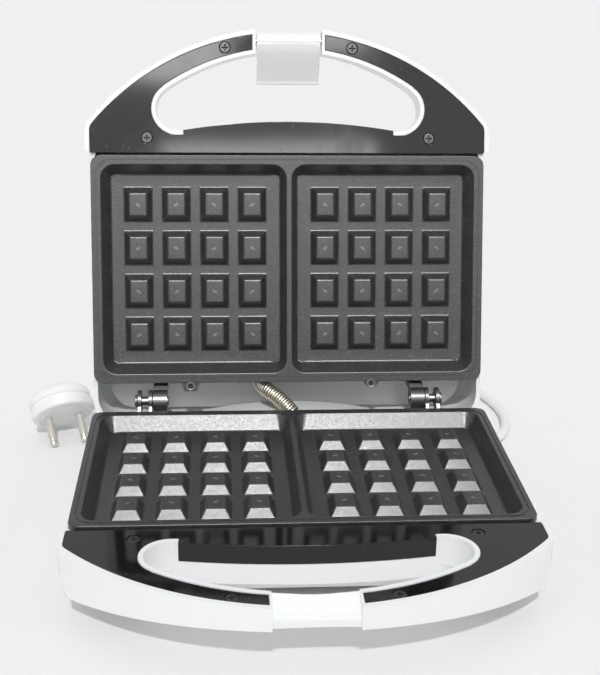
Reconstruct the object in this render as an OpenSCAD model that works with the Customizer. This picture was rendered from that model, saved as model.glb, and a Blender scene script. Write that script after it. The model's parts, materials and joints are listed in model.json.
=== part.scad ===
// Two-slice waffle maker, standing open: hinged lid, latch, plates, cord and plug.
// Lengths in millimetres. X is across the appliance, Y runs from the handle to
// the hinge, Z is up from the table. Every module is drawn in the closed pose
// with z = 0 on the parting plane, then set on the table and opened.

/* [Casing] */
// half width of the white casing at its rim
case_half_w = 113.6; // [105:0.1:125]
// height of the lower casing below the parting plane
base_h = 34; // [30:1:44]
// height of the lid casing above the parting plane
lid_h = 36; // [32:1:46]
// casing wall thickness
wall = 2.5; // [1.8:0.1:3.2]
// height of the rubber feet
foot_h = 4; // [3:0.5:6]

/* [Handle] */
// half width of the handle
handle_half_w = 116; // [114:0.1:124]
// radius of the arched front edge
arch_r = 150; // [140:1:170]
// radius of the handle's front corners
corner_r = 9; // [5:0.5:14]
// width of the white edge left round the black insert
insert_rim = 2.8; // [2:0.1:4]
// thickness of the black insert
insert_t = 2.5; // [2:0.1:3]

/* [Plates] */
// width of a baking plate
plate_w = 226; // [215:1:230]
// depth of a baking plate from front to back
plate_d = 131; // [120:1:135]
// depth of the waffle cells
cell_depth = 8.2; // [7:0.1:9]
// height of the raised blocks in the cells
block_h = 5; // [4:0.1:6]
// width of a block at its foot
block_w = 16; // [14:0.1:17]
// length of a block at its foot
block_l = 19.5; // [17:0.1:20]
// spacing of the blocks across the cell
pitch_x = 21.85; // [20:0.05:23]
// spacing of the blocks along the cell
pitch_y = 25; // [22:0.1:26]

/* [Motion] */
// angle the lid stands open
open_angle = 105; // [0:1:105]
// turn of the latch clip from its hanging place, towards the locked place
latch_turn = 0; // [0:1:150]

/* [Cord] */
// outside diameter of the mains cord
cord_d = 5.6; // [5:0.1:7]
// diameter of the round plug
plug_d = 38; // [36:0.5:40]

/* [Hidden] */

lift = base_h + foot_h;
y_shift = -5.1;
gap = 0.6;
hinge_y = 76;
hinge_z = 1.9;
latch_y = -130.4;
latch_z = 7.2;
// the clip hangs with its weight below the pin, tipped back by this angle
hang_tip = 22;
latch_locked = open_angle + hang_tip;

arch_c = 12.5;
rim_z = -3.2;
handle_top = -0.8;
under_r = 506;
under_z = -12;
front_y = -79.5;
base_back = 68;
lid_back = 92;
arm_end = 18.9;
lid_gap_half = 18.9;
recess_half = 19.1;

cell_x = 53.95;
cell_w = 106;
cell_l = 120.4;
floor_w = 97.4;
floor_l = 109.4;
body_w = 219;
body_d = 124;
skin = 3;
plate_boss = [[-86, -46], [86, -46], [-86, 46], [86, 46]];
insert_screw = [[-81, -75.3], [81, -75.3], [-36.3, -126], [36.3, -126]];

knuckle_r = 6.3;
pin_r = 2.5;
leaf_in = 71;
leaf_out = 79.1;
fork_in = 79.5;
fork_out = 88;

white = [0.93, 0.93, 0.92];
black = [0.05, 0.05, 0.06];
dark = [0.18, 0.18, 0.18];
steel = [0.72, 0.73, 0.75];
grey = [0.4, 0.4, 0.42];

// ---- helpers ----

function arc(cx, cy, r, a0, a1, n) =
  [for (i = [0:n]) let (a = a0 + (a1 - a0) * i / n) [cx + r * cos(a), cy + r * sin(a)]];

function rrect_pts(x, y0, y1, r, n = 8) = concat(
  arc(x - r, y1 - r, r, 0, 90, n), arc(-x + r, y1 - r, r, 90, 180, n),
  arc(-x + r, y0 + r, r, 180, 270, n), arc(x - r, y0 + r, r, 270, 360, n));

function unit(v) = v / norm(v);

function spline_pt(a, b, c, d, t) =
  0.5 * ((2 * b) + (c - a) * t + (2 * a - 5 * b + 4 * c - d) * t * t
         + (3 * b - a - 3 * c + d) * t * t * t);

// smooth route through the points, m rings to each step
function smooth(p, m) = let (n = len(p)) concat(
  [for (i = [0:n - 2]) for (k = [0:m - 1])
    spline_pt(p[max(i - 1, 0)], p[i], p[i + 1], p[min(i + 2, n - 1)], k / m)], [p[n - 1]]);

function way(p, i) = unit(p[min(i + 1, len(p) - 1)] - p[max(i - 1, 0)]);

// round tube along a route; side_hint must never run along the route
module tube(p, r, n, side_hint = [0, 0, 1], r_end = -1) {
  last = len(p) - 1;
  re = r_end < 0 ? r : r_end;
  pts = [for (i = [0:last])
    let (t = way(p, i), u = unit(cross(side_hint, t)), v = cross(t, u), q = r + (re - r) * i / last)
    for (k = [0:n - 1]) p[i] + q * (u * cos(360 * k / n) + v * sin(360 * k / n))];
  sides = [for (i = [0:last - 1]) for (k = [0:n - 1])
    [i * n + k, (i + 1) * n + k, (i + 1) * n + (k + 1) % n, i * n + (k + 1) % n]];
  polyhedron(points = pts,
             faces = concat([[for (k = [0:n - 1]) k]], sides,
                            [[for (k = [n - 1:-1:0]) last * n + k]]), convexity = 6);
}

module on_table() {
  translate([0, y_shift, lift])
    children();
}

module lid_open() {
  on_table()
    translate([0, hinge_y, hinge_z])
      rotate([-open_angle, 0, 0])
        translate([0, -hinge_y, -hinge_z])
          children();
}

// the lid is the lower half turned over about the parting gap
module turned_over() {
  translate([0, 0, gap])
    mirror([0, 0, 1])
      children();
}

module rim_slab(y0, y1, z0, z1, inset, r) {
  translate([0, 0, z0])
    linear_extrude(z1 - z0)
      polygon(rrect_pts(case_half_w - inset, y0 + inset, y1 - inset, r));
}

// bowl with a softly domed floor, open side up
module bowl(y0, y1, h, t) {
  hull() {
    rim_slab(y0, y1, -h + 20, t > 0 ? 2 : rim_z, t, 16);
    rim_slab(y0, y1, -h + 10, -h + 12, t + 1.5, 16);
    rim_slab(y0, y1, -h + 4, -h + 5, t + 5, 15);
    rim_slab(y0, y1, -h + 1.2 + t, -h + 1.6 + t, t + 9.5, 14);
    rim_slab(y0, y1, -h + t, -h + t + 0.3, t + 13, 13);
  }
}

// arched outline of the handle, drawn smaller by the inset
module handle_2d(inset = 0, back_y = -67.5) {
  hw = handle_half_w - inset;
  cr = corner_r - inset;
  ar = arch_r - inset;
  q = handle_half_w - corner_r;
  cy = arch_c - sqrt((ar - cr) * (ar - cr) - q * q);
  a = atan2(cy - arch_c, q);
  polygon(concat([[hw, back_y]], arc(q, cy, cr, 0, a, 8),
                 arc(0, arch_c, ar, a, -180 - a, 40),
                 arc(-q, cy, cr, -180 - a, -180, 8), [[-hw, back_y]]));
}

// opening for the fingers
module finger_2d(grow = 0) {
  polygon(concat(arc(63.4, -91.7, 12.4 + grow, 99, -55.6, 14),
                 arc(0, 1, 125 + grow, -56, -124, 24),
                 arc(-63.4, -91.7, 12.4 + grow, 235.6, 81, 14),
                 arc(0, 285.4, 370 - grow, 260.6, 279.4, 16)));
}

module insert_2d(end_x, less = 0) {
  difference() {
    union() {
      difference() {
        handle_2d(insert_rim + less, -66.8 - less);
        finger_2d(2.6 + less);
      }
      if (less < 1)
        difference() {
          translate([-60.2, -90])
            square([120.4, 20]);
          finger_2d();
        }
    }
    translate([-end_x - less, -150])
      square([2 * (end_x + less), 50]);
  }
}

// strip of the lip that turns down into the finger opening
module lip_2d(t, over = 0) {
  polygon(concat(arc(0, 285.4, 370 + over, 260.6, 279.4, 16),
                 arc(0, 285.4, 370 - t, 279.4, 260.6, 16)));
}

// white moulding of the handle before the pockets are cut
module handle_block(end_x) {
  difference() {
    union() {
      difference() {
        translate([0, 0, -27])
          linear_extrude(27 + handle_top)
            handle_2d();
        for (s = [-1, 1])
          translate([s * handle_half_w, -160, -9])
            rotate([0, s * 14, 0])
              translate([s > 0 ? 0 : -20, 0, -40])
                cube([20, 110, 40]);
        translate([0, -40, under_z - under_r])
          rotate([90, 0, 0])
            cylinder(r = under_r, h = 110, $fn = 240);
        arm_cavity(end_x);
      }
      translate([0, 0, -22])
        linear_extrude(18.2)
          polygon(concat(arc(0, 285.4, 370, 260, 280, 12), [[64, -76], [-64, -76]]));
      for (p = insert_screw)
        intersection() {
          translate([p[0], p[1], -22])
            cylinder(r = 4, h = 18.2, $fn = 32);
          translate([0, p[1] + 20, under_z - under_r])
            rotate([90, 0, 0])
              difference() {
                cylinder(r = under_r + 30, h = 40, $fn = 240);
                cylinder(r = under_r, h = 40, $fn = 240);
              }
        }
    }
    translate([0, 0, -40])
      linear_extrude(50)
        finger_2d();
    for (p = insert_screw)
      translate([p[0], p[1], -12.5 - abs(p[0]) / 30])
        cylinder(r = 1.5, h = 20, $fn = 24);
  }
}

// seat for the black insert and its lip
module insert_seat(end_x) {
  translate([0, 0, handle_top - 0.5 - insert_t])
    linear_extrude(10)
      insert_2d(end_x, -0.2);
  translate([0, 0, -11.3])
    linear_extrude(20)
      lip_2d(2.8, 3);
}

// hollow inside the two arms
module arm_cavity(end_x) {
  difference() {
    translate([0, 0, -27])
      linear_extrude(27 + handle_top - 0.5 - insert_t + 0.1)
        difference() {
          insert_2d(end_x + 0.6, 2.4);
          translate([-66, -90])
            square([132, 30]);
        }
    translate([0, -40, under_z - under_r])
      rotate([90, 0, 0])
        cylinder(r = under_r + wall, h = 110, $fn = 240);
  }
}

// cross-head screw, head upward, top of the head at z = 0
module screw(head_r, head_h, shaft_r, length) {
  difference() {
    union() {
      translate([0, 0, -head_h])
        cylinder(r = head_r, h = head_h, $fn = 32);
      translate([0, 0, -length])
        cylinder(r = shaft_r, h = length, $fn = 24);
    }
    for (a = [0, 90])
      rotate([0, 0, a])
        translate([-head_r * 0.62, -0.45, -head_h * 0.8])
          cube([head_r * 1.24, 0.9, head_h * 2]);
  }
}

module insert_plate(end_x) {
  difference() {
    union() {
      translate([0, 0, handle_top - 0.5 - insert_t])
        linear_extrude(insert_t)
          insert_2d(end_x);
      translate([0, 0, -11])
        linear_extrude(11 + handle_top - 0.5)
          lip_2d(2.5);
    }
    for (p = insert_screw) {
      translate([p[0], p[1], -6])
        cylinder(r = 1.8, h = 10, $fn = 24);
      translate([p[0], p[1], -2.8])
        cylinder(r = 3.3, h = 10, $fn = 32);
    }
  }
}

module insert_screws() {
  for (p = insert_screw)
    translate([p[0], p[1], -1.5])
      screw(3.1, 1.3, 1.46, 11);
}

// truncated block standing in a cell
module block(x, y, z) {
  w = block_w / 2;
  l = block_l / 2;
  tw = w - 3;
  tl = l - 3.3;
  translate([x, y, z])
    polyhedron(points = [[-w, -l, 0], [w, -l, 0], [w, l, 0], [-w, l, 0],
                         [-tw, -tl, block_h + 0.2], [tw, -tl, block_h + 0.2],
                         [tw, tl, block_h + 0.2], [-tw, tl, block_h + 0.2]],
               faces = [[0, 1, 2, 3], [4, 7, 6, 5], [0, 4, 5, 1], [1, 5, 6, 2],
                        [2, 6, 7, 3], [3, 7, 4, 0]]);
}

module cell_slab(cx, w, l, r, z) {
  translate([cx, 0, z])
    linear_extrude(0.05)
      polygon(rrect_pts(w / 2, -l / 2, l / 2, r, 6));
}

module leaf_mark(x, y, z, turn) {
  translate([x, y, z])
    rotate([0, 0, turn])
      linear_extrude(2)
        polygon([[-1.9, 0], [-1, 0.75], [0.2, 0.85], [1.3, 0.4], [1.9, 0],
                 [1.3, -0.4], [0.2, -0.85], [-1, -0.75]]);
}

// cast baking plate, cells upward
module waffle_plate() {
  difference() {
    union() {
      difference() {
        union() {
          translate([0, 0, -3])
            linear_extrude(3)
              polygon(rrect_pts(plate_w / 2, -plate_d / 2, plate_d / 2, 6));
          translate([0, 0, -cell_depth - skin])
            linear_extrude(cell_depth + skin - 1)
              polygon(rrect_pts(body_w / 2, -body_d / 2, body_d / 2, 9));
        }
        for (s = [-1, 1])
          hull() {
            cell_slab(s * cell_x + s * 0.55, cell_w, cell_l, 8, 0);
            cell_slab(s * cell_x - s * 0.35, floor_w, floor_l, 2.5, -cell_depth);
          }
      }
      for (s = [-1, 1])
        for (i = [0:3])
          for (j = [0:3])
            block(s * cell_x + (i - 1.5) * pitch_x, (j - 1.5) * pitch_y, -cell_depth - 0.2);
      for (p = plate_boss)
        translate([p[0], p[1], -16])
          cylinder(r = 5, h = 16 - cell_depth - 1, $fn = 32);
    }
    for (s = [-1, 1])
      for (i = [0:3])
        for (j = [0:3])
          leaf_mark(s * cell_x + (i - 1.5) * pitch_x, (j - 1.5) * pitch_y,
                    block_h - cell_depth - 0.5, (i + j) % 2 == 0 ? 35 : -35);
    for (p = plate_boss)
      translate([p[0], p[1], -17])
        cylinder(r = 1.98, h = 7.2, $fn = 24);
    translate([0, 0, -0.4])
      linear_extrude(1)
        difference() {
          polygon(rrect_pts(plate_w / 2 - 2.6, -plate_d / 2 + 2.4, plate_d / 2 - 2.4, 9));
          polygon(rrect_pts(plate_w / 2 - 3.6, -plate_d / 2 + 3.4, plate_d / 2 - 3.4, 8));
        }
  }
}

// posts that carry a plate, standing on the casing floor
module plate_posts(h) {
  for (p = plate_boss)
    translate([p[0], p[1], -h + 1])
      cylinder(r = 4.6, h = h - 17.1, $fn = 32);
}

module post_bores(h) {
  for (p = plate_boss) {
    translate([p[0], p[1], -h - 1])
      cylinder(r = 2.2, h = h, $fn = 24);
    translate([p[0], p[1], -h - 1])
      cylinder(r = 3.8, h = 3.4, $fn = 32);
  }
}

module plate_screws(h) {
  for (p = plate_boss)
    translate([p[0], p[1], -h + 0.3])
      rotate([180, 0, 0])
        screw(3.5, 2, 1.95, h - 10.5);
}

// bent tubular heating element in a U with its ends at the hinge side
module element() {
  z = -cell_depth - skin - 3.45;
  r = 3.2;
  for (s = [-1, 1]) {
    translate([s * 72, -20, z])
      rotate([-90, 0, 0])
        cylinder(r = r, h = 42, $fn = 24);
    translate([s * 57, -20, z])
      rotate([0, 0, s > 0 ? -90 : 180])
        rotate_extrude(angle = 90, $fn = 48)
          translate([15, 0])
            circle(r = r, $fn = 24);
    translate([s * 57, 22, z])
      rotate([0, 0, s > 0 ? 0 : 90])
        rotate_extrude(angle = 90, $fn = 48)
          translate([15, 0])
            circle(r = r, $fn = 24);
    translate([s * 57, 37, z])
      rotate([0, s > 0 ? -90 : 90, 0])
        cylinder(r = r, h = 35, $fn = 24);
    translate([s * 22, 37, z])
      rotate([0, s > 0 ? -90 : 90, 0])
        cylinder(r = 1.6, h = 8, $fn = 16);
  }
  translate([-57, -35, z])
    rotate([0, 90, 0])
      cylinder(r = r, h = 114, $fn = 24);
}

// thin folded tray that throws the heat back at the plate
module heat_tray() {
  translate([0, 0, -20.6])
    difference() {
      linear_extrude(3)
        polygon(rrect_pts(101, -56, 52, 6));
      translate([0, 0, 0.8])
        linear_extrude(4)
          polygon(rrect_pts(100.2, -55.2, 51.2, 5.2));
      for (p = plate_boss)
        translate([p[0], p[1], -1])
          cylinder(r = 6.2, h = 5, $fn = 32);
      translate([-12, 40, -1])
        cube([24, 8, 5]);
    }
}

// ---- base ----

// rear housing between the hinges, with an arched top
module spine_block(t) {
  intersection() {
    hull() {
      translate([-50 + t, 60, -base_h + 14 + t])
        cube([100 - 2 * t, 32 - t, 30]);
      translate([-48 + t, 60, -base_h + t])
        cube([96 - 2 * t, 26 - t, 5]);
    }
    translate([0, 120, -6 - 240 - t])
      rotate([90, 0, 0])
        cylinder(r = 240, h = 100, $fn = 240);
  }
}

module base_shell() {
  color(white)
    on_table()
      difference() {
        union() {
          difference() {
            union() {
              bowl(front_y, base_back, base_h, 0);
              spine_block(0);
            }
            bowl(front_y, base_back, base_h, wall);
            spine_block(wall);
          }
          difference() {
            handle_block(20.4);
            bowl(front_y, base_back, base_h, wall);
          }
          plate_posts(base_h);
          for (s = [-1, 1])
            translate([s * 83.75, 56, -base_h + 1])
              cylinder(r = 4, h = base_h - 17.4, $fn = 32);
        }
        insert_seat(20.4);
        // slanted thumb recess between the arms
        translate([-recess_half, 0, 0])
          rotate([90, 0, 90])
            linear_extrude(2 * recess_half)
              polygon([[-150, 2], [-118, 2], [-118, -1.2], [-123.5, -1.8], [-131.6, -7.2],
                       [-132.2, -7.2], [-132.4, -8.2], [-134, -8.4], [-134, -15],
                       [-150, -15]]);
        post_bores(base_h);
        // slots for the hinge brackets
        for (s = [-1, 1])
          translate([s * 83.75 - 4.75, 60, -16.8])
            cube([9.5, 12, 22.2]);
        // bracket screws
        for (s = [-1, 1])
          translate([s * 83.75, 56, -24])
            cylinder(r = 1.5, h = 20, $fn = 24);
        // cooling slots in the floor
        for (i = [-4:4])
          translate([i * 14 - 1.5, -26, -base_h - 1])
            cube([3, 44, 6]);
        // foot sockets
        for (p = foot_at)
          translate([p[0], p[1], -base_h - 1])
            cylinder(r = 1.6, h = 5, $fn = 24);
        // conduit slot in the top of the rear housing
        translate([-5, 69, -12])
          cube([18, 10, 12]);
        // passage between bowl and rear housing
        translate([-40, 60, -28])
          cube([80, 12, 16]);
        // cord hole
        translate([42, 79.1, -23])
          rotate([0, 90, 0])
            cylinder(r = 5.1, h = 14, $fn = 32);
      }
}

foot_at = [[-84, -54], [84, -54], [-38, 79], [38, 79]];

module base_handle_insert() {
  color(black)
    on_table()
      insert_plate(20.4);
}

module base_insert_screws() {
  color(steel)
    on_table()
      insert_screws();
}

module lower_plate() {
  color(dark)
    on_table()
      waffle_plate();
}

module lower_plate_screws() {
  color(steel)
    on_table()
      plate_screws(base_h);
}

module lower_heating_element() {
  color(grey)
    on_table()
      element();
}

module lower_heat_tray() {
  color(steel)
    on_table()
      heat_tray();
}

// forked steel bracket that holds the hinge pin
module bracket(s) {
  color(grey)
    on_table() {
      for (x = [fork_in, fork_out - 2.2])
        translate([s > 0 ? x : -x - 2.2, 0, 0])
          rotate([90, 0, 90])
            difference() {
              linear_extrude(2.2)
                union() {
                  translate([hinge_y, hinge_z])
                    circle(r = knuckle_r, $fn = 64);
                  polygon([[72, 4], [76.5, -3], [69.5, -10], [66, -13.6], [60.5, -16.2],
                           [60.5, -13], [62.8, -11.5], [66, -3.4]]);
                }
              translate([hinge_y, hinge_z, -1])
                cylinder(r = pin_r + 0.02, h = 6, $fn = 64);
            }
      difference() {
        translate([s * 83.75 - 4.25, 51.6, -16.2])
          cube([8.5, 10.4, 2.2]);
        translate([s * 83.75, 56, -22])
          cylinder(r = 1.8, h = 12, $fn = 24);
      }
    }
}

module hinge_bracket_left() {
  bracket(-1);
}

module hinge_bracket_right() {
  bracket(1);
}

module bracket_screws() {
  color(steel)
    on_table()
      for (s = [-1, 1])
        translate([s * 83.75, 56, -12.2])
          screw(3, 1.8, 1.46, 11);
}

module hinge_pin(s) {
  color(steel)
    on_table()
      translate([s > 0 ? 70.2 : -70.2, hinge_y, hinge_z])
        rotate([0, s * 90, 0])
          union() {
            cylinder(r = pin_r, h = 18.6, $fn = 64);
            translate([0, 0, 18.1])
              cylinder(r = 3.6, h = 1.4, $fn = 48);
          }
}

module hinge_pin_left() {
  hinge_pin(-1);
}

module hinge_pin_right() {
  hinge_pin(1);
}

module rubber_feet() {
  color(black)
    on_table()
      for (p = foot_at)
        translate([p[0], p[1], -base_h - foot_h])
          difference() {
            union() {
              cylinder(r1 = 6.6, r2 = 7.5, h = foot_h, $fn = 48);
            }
            translate([0, 0, -1])
              cylinder(r = 3.4, h = 3, $fn = 32);
            cylinder(r = 1.7, h = foot_h + 1, $fn = 24);
          }
}

module foot_screws() {
  color(steel)
    on_table()
      for (p = foot_at)
        translate([p[0], p[1], -base_h - foot_h + 0.5])
          rotate([180, 0, 0])
            screw(3, 1.5, 1.57, foot_h + 2);
}

module terminal_block() {
  color(white)
    on_table()
      difference() {
        translate([-30, 42, -30.8])
          cube([36, 12, 6.6]);
        for (i = [0:2])
          translate([-24 + i * 12, 46, -27])
            cylinder(r = 2.6, h = 6, $fn = 24);
      }
}

module base_wires() {
  color([0.75, 0.72, 0.65])
    on_table() {
      tube(smooth([[-24, 49, -22.6], [-26, 56, -22], [-20, 64, -21.5], [-6, 71.5, -19.5],
                   [2, 74, -15.2]], 5), 1.3, 8, [0.2, 0.1, 1]);
      tube(smooth([[0, 49, -22.6], [5, 57, -22], [8, 66, -20.5], [9, 73, -19],
                   [9, 74.4, -15.4]], 5), 1.3, 8, [1, 0.1, 0.1]);
      tube(smooth([[-12, 49, -22.6], [-12, 58, -23.6], [0, 68, -24.6], [18, 78, -24.2],
                   [25, 79, -23.2], [30.4, 79.1, -23]], 5), 1.3, 8, [0.2, 0.1, 1]);
    }
}

module cord_clamp() {
  color(black)
    on_table()
      difference() {
        translate([29, 74, -31.4])
          cube([9, 9.2, 12.4]);
        translate([20, 79.1, -23])
          rotate([0, 90, 0])
            cylinder(r = cord_d / 2 + 0.15, h = 30, $fn = 32);
        translate([38, 79.1, -40])
          cylinder(r = 3.4, h = 9.4, $fn = 24);
      }
}

// flexible sleeve where the cord leaves the rear housing
module strain_relief() {
  color(white)
    on_table()
      difference() {
        union() {
          translate([44.6, 79.1, -23])
            rotate([0, 90, 0])
              cylinder(r = 4.9, h = 6, $fn = 32);
          translate([43.2, 79.1, -23])
            rotate([0, 90, 0])
              cylinder(r = 6.4, h = 1.8, $fn = 32);
          translate([50.6, 79.1, -23])
            rotate([0, 90, 0])
              cylinder(r1 = 4.9, r2 = 3.6, h = 26, $fn = 32);
          for (i = [0:4])
            translate([53 + i * 4.6, 79.1, -23])
              rotate([0, 90, 0])
                cylinder(r = 5.2 - 0.25 * i, h = 2, $fn = 32);
        }
        translate([40, 79.1, -23])
          rotate([0, 90, 0])
            cylinder(r = cord_d / 2 + 0.1, h = 50, $fn = 32);
      }
}

// Cord: from the clamp, out to the right, round a loose bend behind the
// appliance and across to the plug. Heights are above the table.
cord_route = [[31, 74, 15], [50, 74, 15], [65, 74, 15], [78, 74, 15], [90, 75, 12.4],
              [102, 77.2, 7], [114, 80.8, 3.6], [127, 88, 3], [137, 101, 3], [141.5, 117, 3],
              [142, 134, 3], [138.5, 151, 3], [132, 168, 3], [125, 186, 3], [119, 206, 3],
              [110, 226, 3], [98, 243, 3], [80, 252, 3], [61, 248, 3], [48, 234, 3],
              [41, 215, 3], [33, 196, 3], [18, 184, 3], [0, 184, 3], [-13, 196, 3],
              [-20, 214, 3], [-30, 231, 3], [-47, 238, 3], [-62, 229, 3], [-66, 210, 3.2],
              [-67, 192, 5], [-69, 176, 9], [-72.5, 161, 13.5], [-78, 147.5, 17.4],
              [-87, 135, 19.5], [-99, 129, 20]];

module power_cord() {
  color(white)
    tube(smooth(cord_route, 2), cord_d / 2, 10, [0, 0, 1]);
}

// The plug lies on its rim and on the tips of its pins.
plug_at = [-136.5, 108.5, 14.1];
plug_turn = 20;
plug_dip = 43;

module at_plug() {
  translate(plug_at)
    rotate([0, 0, plug_turn])
      rotate([plug_dip + 90, 0, 0])
        children();
}

module plug_body() {
  color(white)
    difference() {
      at_plug()
        union() {
          translate([0, 0, -13])
            cylinder(r = plug_d / 2, h = 13, $fn = 64);
          translate([0, 0, -17])
            cylinder(r1 = plug_d / 2 - 5, r2 = plug_d / 2 - 0.4, h = 4, $fn = 64);
          translate([10, 0, -8])
            rotate([0, 90, 0])
              cylinder(r1 = 7.4, r2 = 4.4, h = 34, $fn = 32);
        }
      at_plug()
        for (s = [-1, 1])
          translate([s * 9.5, 0, -6])
            cylinder(r = 2.22, h = 8, $fn = 32);
      tube(smooth([for (i = [33:35]) cord_route[i]], 3), cord_d / 2 + 0.1, 10, [0, 0, 1]);
    }
}

module plug_pins() {
  color(steel)
    at_plug()
      for (s = [-1, 1])
        translate([s * 9.5, 0, 0])
          union() {
            translate([0, 0, -5.9])
              cylinder(r = 2.2, h = 14.1, $fn = 32);
            translate([0, 0, 8])
              cylinder(r = 2.4, h = 9.5, $fn = 32);
            translate([0, 0, 17.5])
              cylinder(r1 = 2.4, r2 = 1.4, h = 1.5, $fn = 32);
          }
}

// ---- lid ----

module lid_shell() {
  color(white)
    lid_open()
      difference() {
        turned_over()
          difference() {
            union() {
              difference() {
                bowl(front_y, lid_back, lid_h, 0);
                bowl(front_y, lid_back, lid_h, wall);
              }
              difference() {
                handle_block(20.8);
                bowl(front_y, lid_back, lid_h, wall);
              }
              plate_posts(lid_h);
              for (s = [-1, 1])
                translate([s * 75, 56, -lid_h + 1])
                  cylinder(r = 3.8, h = lid_h - 18.1, $fn = 32);
            }
            insert_seat(20.8);
            post_bores(lid_h);
            for (s = [-1, 1])
              translate([s * 75, 56, -28])
                cylinder(r = 1.5, h = 20, $fn = 24);
            // gap between the arms for the latch
            translate([-lid_gap_half, -150, -40])
              cube([2 * lid_gap_half, 40, 50]);
            // bores for the latch pin
            translate([-21.6, latch_y, gap - latch_z])
              rotate([0, 90, 0])
                cylinder(r = 1.52, h = 43.2, $fn = 32);
            // notch that lets the lid turn past the rear housing
            translate([-54, 84, -24])
              cube([108, 20, 40]);
            // lamp windows
            for (x = [-13, 13])
              translate([x, -50, -lid_h - 1])
                cylinder(r = 3.6, h = 8, $fn = 32);
          }
      }
}

module lid_handle_insert() {
  color(black)
    lid_open()
      turned_over()
        insert_plate(20.8);
}

module lid_insert_screws() {
  color(steel)
    lid_open()
      turned_over()
        insert_screws();
}

module upper_plate() {
  color(dark)
    lid_open()
      turned_over()
        union() {
          waffle_plate();
          // lugs on the rear edge
          translate([48, plate_d / 2 - 1, -3])
            cylinder(r = 4.6, h = 2.6, $fn = 32);
          translate([-57.5, plate_d / 2 - 1, -3])
            linear_extrude(2.6)
              polygon([[-5.5, 0], [5.5, 0], [3.6, 6], [-3.6, 6]]);
        }
}

module upper_plate_screws() {
  color(steel)
    lid_open()
      turned_over()
        plate_screws(lid_h);
}

module upper_heating_element() {
  color(grey)
    lid_open()
      turned_over()
        element();
}

module upper_heat_tray() {
  color(steel)
    lid_open()
      turned_over()
        heat_tray();
}

// leaf with a solid knuckle, screwed to a post in the lid
module lid_leaf(s) {
  color(grey)
    lid_open()
      difference() {
        translate([s > 0 ? leaf_in : -leaf_out, 0, 0])
          rotate([90, 0, 90])
            union() {
              translate([hinge_y, hinge_z, 0])
                cylinder(r = knuckle_r, h = leaf_out - leaf_in, $fn = 64);
              linear_extrude(leaf_out - leaf_in)
                polygon([[76.5, 6], [72.6, 0.4], [67, 4.4], [66.6, 15.4], [50, 15.4],
                         [50, 17.6], [69.5, 17.6], [70.4, 8.4]]);
            }
        translate([s * 75, 56, 10])
          cylinder(r = 1.8, h = 12, $fn = 24);
        translate([s * 60, hinge_y, hinge_z])
          rotate([0, s * 90, 0])
            cylinder(r = pin_r + 0.05, h = 40, $fn = 64);
      }
}

module lid_hinge_left() {
  lid_leaf(-1);
}

module lid_hinge_right() {
  lid_leaf(1);
}

module lid_hinge_screws() {
  color(steel)
    lid_open()
      for (s = [-1, 1])
        translate([s * 75, 56, 13.6])
          rotate([180, 0, 0])
            screw(3, 1.8, 1.46, 12);
}

module thermostat() {
  color(grey)
    lid_open()
      union() {
        translate([0, -8, 21.4])
          cylinder(r = 8.5, h = 5, $fn = 48);
        translate([0, -8, 26.2])
          cylinder(r = 5, h = 3, $fn = 32);
        for (s = [-1, 1])
          translate([s * 11 - 4, -10, 23])
            cube([8, 4, 0.8]);
      }
}

module thermal_fuse() {
  color([0.85, 0.82, 0.74])
    lid_open()
      translate([30, 20, 24])
        rotate([0, 90, 0])
          union() {
            cylinder(r = 2, h = 22, $fn = 24);
            translate([0, 0, -6])
              cylinder(r = 0.7, h = 34, $fn = 16);
          }
}

module lens(x) {
  lid_open()
    union() {
      translate([x, -50, gap + lid_h - 4])
        cylinder(r = 3.5, h = 5, $fn = 32);
      translate([x, -50, gap + lid_h - 4.2])
        cylinder(r = 5, h = 1.6, $fn = 32);
    }
}

module power_lens() {
  color([0.8, 0.1, 0.08, 0.8])
    lens(-13);
}

module ready_lens() {
  color([0.1, 0.7, 0.2, 0.8])
    lens(13);
}

module lamp_board() {
  color([0.2, 0.4, 0.25])
    lid_open()
      union() {
        translate([-22, -57, gap + lid_h - 10])
          cube([44, 14, 1.6]);
        for (x = [-13, 13])
          translate([x, -50, gap + lid_h - 8.6])
            cylinder(r = 2, h = 4.2, $fn = 24);
      }
}

module lid_wires() {
  color([0.75, 0.72, 0.65])
    lid_open() {
      tube(smooth([[-12, 37, 15.2], [-14.5, 42.5, 15], [-17, 49, 15], [-19.6, 55.4, 16]], 5),
           1.3, 8, [1, 0.1, 0.1]);
      tube(smooth([[12, 37, 15.2], [10, 43, 15], [2, 49, 15], [-9, 54, 15], [-15.8, 55.6, 15.6]],
                  5), 1.3, 8, [0.1, 0.1, 1]);
    }
}

module latch_pin() {
  color(steel)
    lid_open()
      translate([-21.4, latch_y, latch_z])
        rotate([0, 90, 0])
          cylinder(r = 1.5, h = 42.8, $fn = 32);
}

// Armoured sleeve for the wires between base and lid, drawn for the open lid.
conduit_route = [[3, 68, 26], [2.2, 68.5, 31], [-1, 70, 35.5], [-6.6, 73.5, 40],
                 [-12, 78, 42.6], [-16, 84, 43.8], [-19, 89.5, 48], [-20.5, 91.5, 53]];

module conduit_spring() {
  color(steel)
    tube(smooth(conduit_route, 4), 3.7, 12, [1, 0.2, 0.2]);
}

// ---- latch ----

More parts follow.
